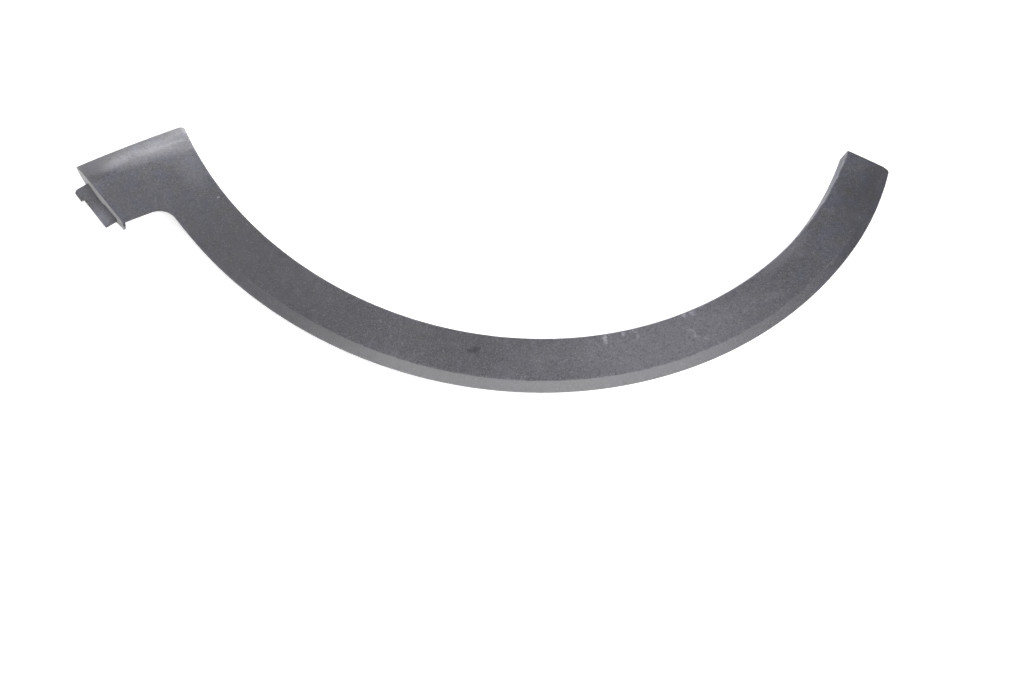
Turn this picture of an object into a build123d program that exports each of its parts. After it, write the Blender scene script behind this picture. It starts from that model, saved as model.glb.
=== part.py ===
from build123d import *
import os
from math import acos, atan2, cos, degrees, hypot, radians, sin, sqrt, tan

# Wheel arch trim, one moulding, lying on its back with the face up.
# Plan angles count from the crown of the arch (-Y), positive towards the narrow end (+X).

# Arch band
OPENING_RADIUS = 370.0
FLANGE_DEPTH = 22.0
FLANGE_DRAFT = 7.0
WALL = 2.6
FACE_RUN = 42.2
FACE_DROP = 4.2
FACE_CROWN = 900.0
BEVEL_RUN = 9.8
BEVEL_DROP = 5.0
LIP_EDGE = 1.6
NARROW_END_ANGLE = 69.1
NARROW_START_ANGLE = 55.0
NARROW_EDGE_RADIUS = 337.0
FADE_START_ANGLE = 37.0
FADE_RADIUS = 1400.0
RELIEF_LENGTH = 60.0
RELIEF_RISE = 3.0

# Foot that meets the sill
SILL_ANGLE = 66.3
SILL_DIRECTION = 63.0
SILL_LENGTH = 110.3
FOOT_LOW_RADIUS = 465.7
FOOT_LOW_ANGLE = 55.7
FOOT_JOIN_ANGLE = 54.5
FOOT_INNER_FILLET = 20.0
ROLL_RUN_INNER = 46.0
ROLL_DROP_INNER = 11.0
ROLL_RUN_OUTER = 24.0
ROLL_DROP_OUTER = 4.0
ROLL_LEAD = 1.0
ROLL_STATIONS = 4
ROLL_OVERRUN = 0.125
END_FLARE_TOP = 0.2
END_FLARE = 4.9
END_FLARE_PLACE = 31.0
END_FLARE_LOW = 1.5
NUB_HEIGHT = 5.0
NUB_REACH = 3.0
NUB_STEP = 1.6

# Hooked locating tab beyond the foot's end
TAB_START = 23.1
TAB_LENGTH = 51.5
TAB_REACH = 14.2
TAB_TOP = 4.0
TAB_THICKNESS = 2.6
HOOK_LENGTH = 13.4
HOOK_REACH = 3.0
HOOK_CORNER = 2.5
PAD_LENGTH = 21.0
PAD_HEIGHT = 1.2

# Clip houses and gussets on the hidden side
CLIP_RADIUS = 396.0
CLIP_COUNT = 5
CLIP_FIRST_ANGLE = -42.0
CLIP_PITCH_ANGLE = 25.0
FOOT_CLIP_RADIUS = 428.0
FOOT_CLIP_ANGLE = -60.0
CLIP_SEAT = 4.0
CLIP_PLATE = 2.2
CLIP_WALL = 2.0
CLIP_WIDTH = 20.0
CLIP_LENGTH = 17.0
CLIP_SLOT = 8.4
GUSSET_COUNT = 16
GUSSET_FIRST_ANGLE = -57.0
GUSSET_PITCH_ANGLE = 8.0
GUSSET_THICKNESS = 1.8
GUSSET_RUN = 14.0
GUSSET_CLEAR = 4.0

EDGE_ROUND = 1.4
CORNER_ROUND = 4.0
TIP_ROUND = 2.6
OVER = 12.0

OUTER_RADIUS = OPENING_RADIUS + FACE_RUN + BEVEL_RUN
CREASE_RADIUS = OPENING_RADIUS + FACE_RUN
RIM_RADIUS = OPENING_RADIUS - FLANGE_DEPTH * tan(radians(FLANGE_DRAFT))
REACH = max(OPENING_RADIUS + SILL_LENGTH, FOOT_LOW_RADIUS) + 2 * OVER


def polar(radius, angle):
    """Plan point at an arch angle."""
    return Vector(radius * sin(radians(angle)), -radius * cos(radians(angle)), 0)


def face_z(radius):
    """Height of the convex face at a radius from the arch axis."""
    chord = hypot(FACE_RUN, FACE_DROP)
    depth = sqrt(FACE_CROWN**2 - (chord / 2) ** 2) / chord
    centre_r = OPENING_RADIUS + FACE_RUN / 2 - FACE_DROP * depth
    centre_z = FLANGE_DEPTH - FACE_DROP / 2 - FACE_RUN * depth
    return centre_z + sqrt(FACE_CROWN**2 - (radius - centre_r) ** 2)


SILL_OUT = polar(1, -SILL_DIRECTION)
SILL_IN = Vector(-SILL_OUT.Y, SILL_OUT.X, 0)
SILL_START = polar(OPENING_RADIUS, -SILL_ANGLE)
CORNER = SILL_START + SILL_LENGTH * SILL_OUT
LOW_CORNER = polar(FOOT_LOW_RADIUS, -FOOT_LOW_ANGLE)
END_LENGTH = (LOW_CORNER - CORNER).length
END_ALONG = (LOW_CORNER - CORNER).normalized()
END_OUT = Vector(END_ALONG.Y, -END_ALONG.X, 0)
CORNER_SINE = END_ALONG.cross(SILL_OUT).length
UP = Vector(0, 0, 1)


def under_face(drop, inset, over):
    """Solid below the face: drop lowers it, inset moves walled edges in, over moves open edges out."""
    base = -over
    low = base - REACH / 4
    slant = tan(radians(FLANGE_DRAFT))
    top_radius = RIM_RADIUS + inset + slant * (face_z(OPENING_RADIUS + inset) - drop)
    with BuildPart() as body:
        with BuildSketch(Plane.XZ):
            with BuildLine():
                ThreePointArc(
                    *[(r, face_z(r) - drop) for r in (top_radius, CREASE_RADIUS, REACH)]
                )
                Polyline(
                    (REACH, face_z(REACH) - drop),
                    (REACH, low),
                    (RIM_RADIUS + inset + slant * low, low),
                    (top_radius, face_z(top_radius) - drop),
                )
            make_face()
        revolve(axis=Axis.Z)

        # Plan outline of arch and foot
        inner = RIM_RADIUS - 2 * OVER
        open_turn = degrees(over / OUTER_RADIUS)
        end_angle = NARROW_END_ANGLE + open_turn
        lip_radius = OUTER_RADIUS + over
        join = polar(lip_radius, 2 * open_turn - FOOT_JOIN_ANGLE)
        narrow_start = polar(lip_radius, NARROW_START_ANGLE)
        with BuildSketch(Plane.XY.offset(base)) as plan:
            with BuildLine():
                ThreePointArc(join, polar(lip_radius, 0), narrow_start)
                tip = CenterArc(
                    polar(OUTER_RADIUS - NARROW_EDGE_RADIUS, NARROW_START_ANGLE),
                    NARROW_EDGE_RADIUS + over,
                    NARROW_START_ANGLE - 90,
                    Axis((0, 0, 0), polar(1, end_angle)),
                )
                Polyline(
                    tip @ 1,
                    polar(inner, end_angle),
                    SILL_START - 2 * OVER * SILL_OUT + inset * SILL_IN,
                    CORNER + inset / CORNER_SINE * (END_ALONG - SILL_OUT),
                    LOW_CORNER + over * END_ALONG - inset * END_OUT,
                    join,
                )
            make_face()
            if over == 0:
                fillet(plan.vertices().sort_by_distance(join)[0], FOOT_INNER_FILLET)
        extrude(amount=FLANGE_DEPTH + 3 * OVER, mode=Mode.INTERSECT)

        # Bevelled lip, which fades out before the foot
        crease_z = face_z(CREASE_RADIUS) - drop
        slope = (BEVEL_DROP - (WALL - LIP_EDGE if inset else 0)) / BEVEL_RUN
        fade = polar(1, -FADE_START_ANGLE)
        with BuildSketch(Plane((0, 0, 0), x_dir=fade, z_dir=fade.cross(UP)), mode=Mode.PRIVATE) as lip:
            with BuildLine():
                Polyline(
                    (CREASE_RADIUS - OVER / 4, crease_z + slope * OVER / 4),
                    (CREASE_RADIUS + 3 * OVER, crease_z - slope * 3 * OVER),
                    (CREASE_RADIUS + 3 * OVER, crease_z + 2 * OVER),
                    (CREASE_RADIUS - OVER / 4, crease_z + 2 * OVER),
                    close=True,
                )
            make_face()
        revolve(
            lip.sketch,
            axis=Axis.Z,
            revolution_arc=FADE_START_ANGLE + NARROW_END_ANGLE + OVER / 4,
            mode=Mode.SUBTRACT,
        )
        beyond = FADE_RADIUS - CREASE_RADIUS
        fade_cosine = (FADE_RADIUS**2 + beyond**2 - OUTER_RADIUS**2) / (2 * FADE_RADIUS * beyond)
        revolve(
            lip.sketch,
            axis=Axis(-beyond * fade, UP),
            revolution_arc=-degrees(acos(fade_cosine)),
            mode=Mode.SUBTRACT,
        )

        # Face rolls down to the sill edge of the foot
        for station in range(ROLL_STATIONS):
            share = (1 + 2 * ROLL_OVERRUN) * station / (ROLL_STATIONS - 1) - ROLL_OVERRUN
            place = SILL_START + share * SILL_LENGTH * SILL_OUT + inset * SILL_IN
            run = ROLL_RUN_INNER + share * (ROLL_RUN_OUTER - ROLL_RUN_INNER)
            fall = ROLL_DROP_INNER + share * (ROLL_DROP_OUTER - ROLL_DROP_INNER)
            level = face_z(place.length) - drop
            chord = hypot(run, fall)
            half_turn = atan2(fall, run) - radians(ROLL_LEAD)
            bulge = chord / 2 * tan(half_turn / 2)
            lead = tan(radians(ROLL_LEAD))
            trail = tan(atan2(fall, run) + half_turn)
            with BuildSketch(Plane(place, x_dir=SILL_IN, z_dir=SILL_IN.cross(UP))):
                with BuildLine():
                    ThreePointArc(
                        (run, level),
                        (run / 2 - bulge * fall / chord, level - fall / 2 + bulge * run / chord),
                        (0, level - fall),
                    )
                    Polyline(
                        (0, level - fall),
                        (-OVER / 6, level - fall - trail * OVER / 6),
                        (-OVER / 6, level + OVER),
                        (run + OVER / 2, level + OVER),
                        (run + OVER / 2, level + lead * OVER / 2),
                        (run, level),
                    )
                make_face()
        loft(mode=Mode.SUBTRACT)
    return body.part


outer = under_face(0, 0, 0)
hollow = under_face(WALL, WALL, OVER)
half_deep = under_face(WALL / 2, WALL / 2, 0)

# Clip houses: three walls and a slotted seat plate, open towards the lip
clip_places = [
    Location(polar(CLIP_RADIUS, angle), (0, 0, angle - 90))
    for angle in [CLIP_FIRST_ANGLE + n * CLIP_PITCH_ANGLE for n in range(CLIP_COUNT)]
] + [Location(polar(FOOT_CLIP_RADIUS, FOOT_CLIP_ANGLE), (0, 0, FOOT_CLIP_ANGLE - 90))]
with BuildPart() as houses:
    with BuildSketch(Plane.XY.offset(CLIP_SEAT)):
        with Locations(*clip_places):
            Rectangle(CLIP_LENGTH, CLIP_WIDTH)
            with Locations((CLIP_WALL, 0)):
                Rectangle(CLIP_LENGTH, CLIP_WIDTH - 2 * CLIP_WALL, mode=Mode.SUBTRACT)
    extrude(amount=FLANGE_DEPTH)
    with BuildSketch(Plane.XY.offset(CLIP_SEAT)):
        with Locations(*clip_places):
            Rectangle(CLIP_LENGTH, CLIP_WIDTH)
            Circle(CLIP_SLOT / 2, mode=Mode.SUBTRACT)
            Rectangle(
                CLIP_LENGTH, CLIP_SLOT, align=(Align.MIN, Align.CENTER), mode=Mode.SUBTRACT
            )
    extrude(amount=CLIP_PLATE)
    add(half_deep, mode=Mode.INTERSECT)

# Gussets between flange and face
with BuildPart() as gussets:
    with BuildSketch():
        with PolarLocations(
            OPENING_RADIUS,
            GUSSET_COUNT,
            GUSSET_FIRST_ANGLE - 90,
            GUSSET_PITCH_ANGLE * (GUSSET_COUNT - 1),
            endpoint=True,
        ):
            Rectangle(3 * GUSSET_RUN, GUSSET_THICKNESS)
    extrude(amount=FLANGE_DEPTH)
    with BuildSketch(Plane.XZ):
        with BuildLine():
            Polyline(
                (RIM_RADIUS, GUSSET_CLEAR),
                (OPENING_RADIUS + WALL + GUSSET_RUN, FLANGE_DEPTH - WALL - FACE_DROP / 2),
                (OPENING_RADIUS + WALL + GUSSET_RUN, FLANGE_DEPTH),
                (RIM_RADIUS, FLANGE_DEPTH),
                close=True,
            )
        make_face()
    revolve(axis=Axis.Z, mode=Mode.INTERSECT)
    add(half_deep, mode=Mode.INTERSECT)

tip_out = polar(1, NARROW_END_ANGLE)
tip_along = Vector(tip_out.Y, -tip_out.X, 0)
with BuildPart() as moulding:
    add(outer)
    upright = moulding.edges().filter_by(lambda edge: abs(edge.tangent_at(0.5).Z) > 0.9)
    tip_corner = polar(OUTER_RADIUS, NARROW_END_ANGLE) + FLANGE_DEPTH / 2 * UP
    fillet(upright.sort_by_distance(SILL_START)[0], CORNER_ROUND)
    fillet(upright.sort_by_distance(tip_corner)[0], TIP_ROUND)
    crown = polar(OPENING_RADIUS, 0) + FLANGE_DEPTH * UP
    fillet(moulding.edges().sort_by_distance(crown)[0], EDGE_ROUND)

    # Foot's end leans out below the face, most near the tab
    for along, lean in ((0, END_FLARE_TOP), (END_FLARE_PLACE, END_FLARE), (END_LENGTH, END_FLARE_LOW)):
        place = CORNER + along * END_ALONG
        rise = face_z(place.length) - max(0, 1 - along / ROLL_RUN_OUTER) * ROLL_DROP_OUTER
        with BuildSketch(Plane(place, x_dir=END_OUT, z_dir=END_OUT.cross(UP))):
            with BuildLine():
                Polyline((-WALL / 2, 0), (lean, 0), (0, rise), (-WALL / 2, rise), close=True)
            make_face()
    loft()

    # Tab with its hook and raised pad, and the free corner of the foot's end
    tab_plane = Plane(CORNER + (TAB_TOP - TAB_THICKNESS) * UP, x_dir=END_ALONG)
    with BuildSketch(tab_plane) as tab:
        with Locations((TAB_START, 0)):
            Rectangle(TAB_LENGTH, TAB_REACH, align=(Align.MIN, Align.MAX))
            Rectangle(HOOK_LENGTH, TAB_REACH + HOOK_REACH, align=(Align.MIN, Align.MAX))
        chamfer(tab.vertices().group_by(Axis.Y)[0].sort_by(Axis.X)[0], HOOK_CORNER)
    extrude(amount=TAB_THICKNESS)
    with BuildSketch(tab_plane):
        with Locations((TAB_START + TAB_LENGTH, 0)):
            Rectangle(PAD_LENGTH, TAB_REACH, align=(Align.MAX, Align.MAX))
    extrude(amount=TAB_THICKNESS + PAD_HEIGHT)
    with BuildSketch(Plane(CORNER, x_dir=END_ALONG)):
        with Locations((END_LENGTH + NUB_REACH, NUB_STEP)):
            Rectangle(NUB_REACH + 2 * WALL, WALL, align=(Align.MAX, Align.MAX))
    extrude(amount=NUB_HEIGHT)

    add(hollow, mode=Mode.SUBTRACT)

    # Flange rises towards the narrow end
    with BuildSketch(Plane(OPENING_RADIUS * tip_out, x_dir=tip_along, z_dir=tip_along.cross(UP))):
        with BuildLine():
            Polyline(
                (-OVER, RELIEF_RISE * (1 + OVER / RELIEF_LENGTH)),
                (RELIEF_LENGTH, 0),
                (RELIEF_LENGTH, -OVER),
                (-OVER, -OVER),
                close=True,
            )
        make_face()
    extrude(amount=2 * OVER, both=True, mode=Mode.SUBTRACT)

    add(houses.part)
    add(gussets.part)

# Origin at the middle of the box that holds the part, on the plane it rests on
box = moulding.part.bounding_box()
with BuildPart() as arch_trim:
    add(moulding.part.moved(Location((-box.center().X, -box.center().Y, -box.min.Z))))

os.makedirs("parts", exist_ok=True)
arch_trim.part.label = "arch_trim"
export_step(arch_trim.part, "parts/arch_trim.step")
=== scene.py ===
"""Looks of a wheel arch trim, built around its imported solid, in the part's own frame.

Lengths of the moulding are in millimetres about the arch axis and go to metres when a mesh is made.
Arch angles are in degrees from the crown, positive towards the narrow end.
"""

import logging
import math
from dataclasses import dataclass, field
from enum import Enum
from typing import Any, Iterable, Sequence, Union

import bmesh
import bpy
import numpy as np
from mathutils import Matrix, Vector


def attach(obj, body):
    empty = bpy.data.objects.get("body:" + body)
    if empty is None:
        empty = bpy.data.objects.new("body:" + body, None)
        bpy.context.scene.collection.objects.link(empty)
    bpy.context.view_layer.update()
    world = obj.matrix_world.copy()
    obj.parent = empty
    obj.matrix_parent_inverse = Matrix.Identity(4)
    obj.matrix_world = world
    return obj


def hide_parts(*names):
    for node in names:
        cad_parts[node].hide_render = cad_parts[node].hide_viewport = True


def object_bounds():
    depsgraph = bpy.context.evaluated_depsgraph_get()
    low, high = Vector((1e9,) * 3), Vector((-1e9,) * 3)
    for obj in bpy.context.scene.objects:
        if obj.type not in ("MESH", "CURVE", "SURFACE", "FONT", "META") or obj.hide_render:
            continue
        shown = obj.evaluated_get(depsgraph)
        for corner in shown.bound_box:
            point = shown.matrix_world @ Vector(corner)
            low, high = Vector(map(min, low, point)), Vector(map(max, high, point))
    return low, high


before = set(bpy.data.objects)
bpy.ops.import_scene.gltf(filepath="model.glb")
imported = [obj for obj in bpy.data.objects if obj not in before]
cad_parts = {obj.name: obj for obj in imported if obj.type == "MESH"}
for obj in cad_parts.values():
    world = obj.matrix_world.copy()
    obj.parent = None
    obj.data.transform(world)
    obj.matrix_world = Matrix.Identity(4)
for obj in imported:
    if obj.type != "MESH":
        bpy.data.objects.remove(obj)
CAD_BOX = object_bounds()

LOG = logging.getLogger("arch_trim")
MM = 0.001
NODE = "arch_trim"
BODY = "root"
# How far a block stays inside one that it overlaps, so that they share no plane
SINK = 0.05
# Segments of a rounded edge, and the least angle between a block's faces that counts as an edge
ROUND_SEGMENTS = 3
BLOCK_ANGLE = 40.0

Plan = np.ndarray
Span = tuple[float, float]
Triple = tuple[float, float, float]
Lengths = Union[float, np.ndarray]
Number = Union[int, float]


def polar(radius: Lengths, angle: Lengths) -> Plan:
    """Plan points at a radius and an arch angle."""
    turn = np.radians(angle)
    return np.stack([radius * np.sin(turn), -radius * np.cos(turn)], axis=-1)


def arch_angle(points: Plan) -> np.ndarray:
    """Arch angles of plan points."""
    return np.degrees(np.arctan2(points[..., 0], -points[..., 1]))


def unit(vector: Plan) -> Plan:
    """Vectors of length one."""
    return vector / np.linalg.norm(vector, axis=-1, keepdims=True)


def soft_min(first: np.ndarray, second: np.ndarray, blend: float) -> np.ndarray:
    """Lower of two heights, rounded over where they come within the blend."""
    near = np.clip(1 - np.abs(first - second) / blend, 0, 1)
    return np.minimum(first, second) - near**2 * blend / 4


def half_arc(corner: Plan, first: Plan, second: Plan, radius: float, count: int) -> tuple[Plan, Plan]:
    """Rounds a corner and halves the arc.

    Args:
        corner: The sharp corner.
        first: Direction along the first side, away from the corner.
        second: Direction along the second side, away from the corner.
        radius: Radius of the arc.
        count: Number of steps in each half.

    Returns:
        Points from the middle of the arc to the first side, and from the middle to the second.
    """
    half = math.acos(float(np.dot(first, second))) / 2
    centre = corner + unit(first + second) * radius / math.sin(half)
    middle = unit(corner - centre)
    halves = []
    for side in (first, second):
        foot = unit(corner + side * radius / math.tan(half) - centre)
        shares = np.linspace(0, 1, count + 1)[:, None]
        swing = math.pi / 2 - half
        along = unit(foot - middle * float(np.dot(foot, middle)))
        halves.append(centre + radius * (np.cos(swing * shares) * middle + np.sin(swing * shares) * along))
    return halves[0], halves[1]


def linked(name: str, data: bpy.types.ID) -> bpy.types.Object:
    """Makes an object and links it to the scene.

    Args:
        name: Name of the object.
        data: Its mesh, light or camera.

    Returns:
        The new object.
    """
    made = bpy.data.objects.new(name, data)
    bpy.context.collection.objects.link(made)
    return made


@dataclass(frozen=True)
class TrimShape:
    """Sizes of the moulding and the height of its skin."""

    axis_from_middle: float = 23.3
    opening_radius: float = 370.0
    flange_depth: float = 22.0
    flange_draft: float = 7.0
    wall: float = 2.6
    face_run: float = 42.2
    face_drop: float = 4.2
    face_crown: float = 900.0
    bevel_run: float = 9.8
    bevel_drop: float = 5.0
    lip_edge: float = 1.6
    crease_blend: float = 0.5
    narrow_end: float = 69.1
    narrow_start: float = 55.0
    narrow_edge_radius: float = 337.0
    fade_start: float = 37.0
    fade_radius: float = 1400.0
    relief_length: float = 60.0
    relief_rise: float = 3.0
    sill_angle: float = 66.3
    sill_direction: float = 63.0
    sill_length: float = 110.3
    foot_low_radius: float = 465.7
    foot_low_angle: float = 55.7
    foot_join_angle: float = 54.5
    foot_inner_fillet: float = 20.0
    roll_run: Span = (46.0, 24.0)
    roll_drop: Span = (11.0, 4.0)
    roll_overrun: float = 0.3
    roll_lead: float = 1.0
    roll_blend: float = 0.8
    corner_round: float = 4.0
    tip_round: float = 2.6
    end_flare: Triple = (0.2, 4.9, 1.5)
    end_flare_place: float = 31.0

    @property
    def crease_radius(self) -> float:
        """Radius of the crease between face and bevel."""
        return self.opening_radius + self.face_run

    @property
    def outer_radius(self) -> float:
        """Radius of the lip."""
        return self.crease_radius + self.bevel_run

    @property
    def sill_out(self) -> Plan:
        """Direction along the sill edge, away from the opening."""
        return polar(1, -self.sill_direction)

    @property
    def sill_in(self) -> Plan:
        """Direction from the sill edge into the foot."""
        out = self.sill_out
        return np.array([-out[1], out[0]])

    @property
    def sill_start(self) -> Plan:
        """Corner of the sill edge at the opening."""
        return polar(self.opening_radius, -self.sill_angle)

    @property
    def corner(self) -> Plan:
        """Corner of the sill edge at the foot's end."""
        return self.sill_start + self.sill_length * self.sill_out

    @property
    def low_corner(self) -> Plan:
        """Free corner of the foot's end."""
        return polar(self.foot_low_radius, -self.foot_low_angle)

    @property
    def end_along(self) -> Plan:
        """Direction along the foot's end, away from the sill."""
        return unit(self.low_corner - self.corner)

    @property
    def end_out(self) -> Plan:
        """Direction out of the foot's end."""
        along = self.end_along
        return np.array([along[1], -along[0]])

    @property
    def end_length(self) -> float:
        """Length of the foot's end."""
        return float(np.linalg.norm(self.low_corner - self.corner))

    @property
    def fade_end(self) -> float:
        """Arch angle, counted towards the foot, at which the bevel has faded out.

        Returns:
            The angle in degrees.
        """
        beyond = self.fade_radius - self.crease_radius
        squares = self.fade_radius**2 - beyond**2 - self.outer_radius**2
        return self.fade_start + math.degrees(math.acos(squares / (2 * beyond * self.outer_radius)))

    def to_frame(self, points: np.ndarray) -> np.ndarray:
        """Metres in the part's frame, from millimetres about the arch axis."""
        shift = np.array([self.axis_from_middle, CAD_BOX[0].y / MM + self.outer_radius, 0.0])
        return (points + shift) * MM

    def face(self, radius: Lengths) -> Lengths:
        """Height of the convex face.

        Args:
            radius: Distance from the arch axis, one or many.

        Returns:
            One height for each radius.
        """
        chord = math.hypot(self.face_run, self.face_drop)
        depth = math.sqrt(self.face_crown**2 - (chord / 2) ** 2) / chord
        centre_r = self.opening_radius + self.face_run / 2 - self.face_drop * depth
        centre_z = self.flange_depth - self.face_drop / 2 - self.face_run * depth
        return centre_z + np.sqrt(self.face_crown**2 - (radius - centre_r) ** 2)

    def beyond_crease(self, points: Plan) -> np.ndarray:
        """Distance outward from the crease, which swings out to the lip where the bevel fades.

        Args:
            points: Plan points.

        Returns:
            One distance for each point, below nought on the face.
        """
        radius = np.linalg.norm(points, axis=-1)
        angle = arch_angle(points)
        centre = (self.crease_radius - self.fade_radius) * polar(1, -self.fade_start)
        faded = np.linalg.norm(points - centre, axis=-1) - self.fade_radius
        out = np.where(angle > -self.fade_start, radius - self.crease_radius, faded)
        return np.where(angle > -self.fade_end, out, -self.face_run)

    def rolled(self, points: Plan) -> np.ndarray:
        """Height of the arc by which the face rolls down to the sill edge.

        Args:
            points: Plan points.

        Returns:
            One height for each point, far above the face where the arc doesn't reach.
        """
        away = points - self.sill_start
        along = away @ self.sill_out / self.sill_length
        along = np.clip(along, -self.roll_overrun, 1 + self.roll_overrun)
        inward = away @ self.sill_in
        run = self.roll_run[0] + along * (self.roll_run[1] - self.roll_run[0])
        drop = self.roll_drop[0] + along * (self.roll_drop[1] - self.roll_drop[0])
        sill = self.sill_start + (along * self.sill_length)[..., None] * self.sill_out
        level = self.face(np.linalg.norm(sill, axis=-1))
        lead = math.radians(self.roll_lead)
        chord = np.hypot(run, drop)
        half_turn = np.arctan2(drop, run) - lead
        radius = chord / 2 / np.sin(half_turn)
        centre_s = run / 2 + drop / chord * radius * np.cos(half_turn)
        centre_z = level - drop / 2 - run / chord * radius * np.cos(half_turn)
        inside = np.clip(inward, 0, run)
        arc = centre_z + np.sqrt(radius**2 - (inside - centre_s) ** 2)
        trail = np.tan(np.arctan2(drop, run) + half_turn)
        height = arc + trail * np.minimum(inward, 0) + math.tan(lead) * np.maximum(inward - run, 0)
        return np.where(inward > run + self.corner_round, height + self.flange_depth, height)

    def height(self, points: Plan, wall: float = 0.0) -> np.ndarray:
        """Height of the skin over plan points.

        Args:
            points: Plan points.
            wall: Depth below the top, nought for the top itself and the wall for its underside.

        Returns:
            One height for each point.
        """
        face = self.face(np.linalg.norm(points, axis=-1))
        thinner = max(wall - self.lip_edge, 0.0)
        slope = (self.bevel_drop - thinner) / self.bevel_run
        bevel = self.face(self.crease_radius) - slope * self.beyond_crease(points)
        top = soft_min(face, bevel, self.crease_blend)
        return soft_min(top, self.rolled(points), self.roll_blend) - wall

    def flare(self, along: np.ndarray) -> np.ndarray:
        """How far the foot of the end wall stands out, along the end."""
        places = (0.0, self.end_flare_place, self.end_length)
        return np.polyval(np.polyfit(places, self.end_flare, 2), along)


@dataclass
class MeshDraft:
    """Vertices and faces of a mesh that is being put together, in millimetres."""

    points: list[np.ndarray] = field(default_factory=list)
    faces: list[tuple[int, ...]] = field(default_factory=list)
    finishes: list[int] = field(default_factory=list)

    def add(self, points: np.ndarray, faces: Iterable[Sequence[int]], finish: int = 0) -> None:
        """Adds points and the faces between them.

        Args:
            points: New points, one row each.
            faces: Corner numbers, counted within the new points.
            finish: Number of the material slot.
        """
        first = sum(len(p) for p in self.points)
        self.points.append(points)
        for corners in faces:
            self.faces.append(tuple(first + c for c in corners))
            self.finishes.append(finish)

    def prism(self, low: np.ndarray, high: np.ndarray, finish: int = 0) -> None:
        """Adds a closed prism.

        Args:
            low: Outline of its bottom.
            high: Outline of its top, with as many points.
            finish: Number of the material slot.
        """
        count = len(low)
        sides = [(n, (n + 1) % count, count + (n + 1) % count, count + n) for n in range(count)]
        caps = [tuple(range(count - 1, -1, -1)), tuple(range(count, 2 * count))]
        self.add(np.vstack([low, high]), [*sides, *caps], finish)

    def make(
        self, name: str, shape: TrimShape, finishes: Sequence[bpy.types.Material]
    ) -> bpy.types.Object:
        """Turns the draft into an object in metres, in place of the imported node.

        Args:
            name: Name of the piece.
            shape: Shape that knows the way from the arch axis to the part's frame.
            finishes: Materials of the slots.

        Returns:
            The new object, linked to the scene and riding on the moulding's body.
        """
        mesh = bpy.data.meshes.new(name)
        points = shape.to_frame(np.vstack(self.points))
        mesh.from_pydata([tuple(p) for p in points], [], self.faces)
        for finish in finishes:
            mesh.materials.append(finish)
        for face, number in zip(mesh.polygons, self.finishes):
            face.material_index = number
            face.use_smooth = True
        work = bmesh.new()
        work.from_mesh(mesh)
        bmesh.ops.recalc_face_normals(work, faces=work.faces)
        work.to_mesh(mesh)
        work.free()
        piece = linked(name, mesh)
        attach(piece, BODY)
        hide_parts(NODE)
        LOG.info("%s: %d vertices, %d faces", name, len(mesh.vertices), len(mesh.polygons))
        return piece


def round_edges(piece: bpy.types.Object, radius: float, angle: float) -> None:
    """Rounds the edges of a piece that are sharper than an angle.

    Args:
        piece: Piece to round.
        radius: Radius in millimetres.
        angle: Least angle between faces in degrees.
    """
    bevel = piece.modifiers.new("edge_round", "BEVEL")
    bevel.width = radius * MM
    bevel.segments = ROUND_SEGMENTS
    bevel.limit_method = "ANGLE"
    bevel.angle_limit = math.radians(angle)
    bevel.use_clamp_overlap = False
    normals = piece.modifiers.new("flat_faces", "WEIGHTED_NORMAL")
    normals.keep_sharp = False


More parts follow.
